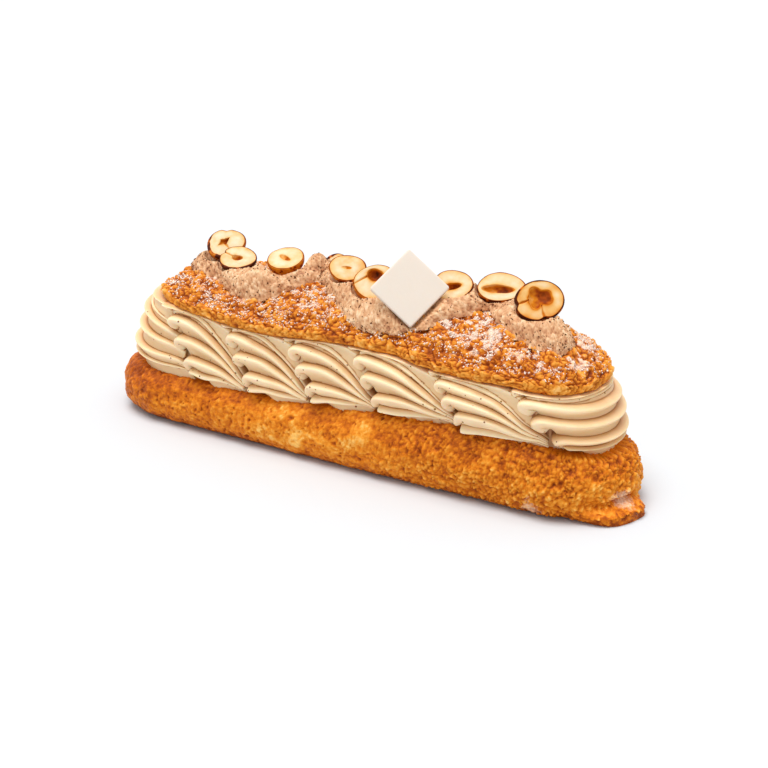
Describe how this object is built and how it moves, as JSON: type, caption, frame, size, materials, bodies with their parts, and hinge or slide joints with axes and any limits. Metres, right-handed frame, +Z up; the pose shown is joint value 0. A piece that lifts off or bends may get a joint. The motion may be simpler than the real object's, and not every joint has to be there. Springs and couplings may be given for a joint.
{
  "type": "paris-brest",
  "caption": "Long eclair-shaped choux pastry filled with piped praline cream, topped with a craggy choux lid, a wavy praline paste rope, hazelnut halves and a white chocolate tile.",
  "frame": {"origin": "on the floor, under the middle of the whole object's box", "axes": "+X along the pastry towards its lipped end, -Y is the front, +Z up"},
  "size_m": [0.1557, 0.0425, 0.0557],
  "materials": {
    "base_crust": "baked choux crust, golden brown",
    "cream": "piped praline cream, soft sheen",
    "lid_crust": "craggy baked crust dusted with icing sugar",
    "paste": "grainy praline paste with dark specks",
    "kernel": "roasted hazelnut, pale cut face and brown skin",
    "white_chocolate": "smooth white chocolate"
  },
  "bodies": {
    "root": {"choux_base": "base_crust", "praline_cream": "cream", "choux_lid": "lid_crust", "praline_rope": "paste", "hazelnut_1": "kernel", "hazelnut_2": "kernel", "hazelnut_3": "kernel", "hazelnut_4": "kernel", "hazelnut_5": "kernel", "hazelnut_6": "kernel", "hazelnut_7": "kernel", "hazelnut_8": "kernel", "hazelnut_9": "kernel", "chocolate_tile": "white_chocolate"}
  },
  "joints": []
}
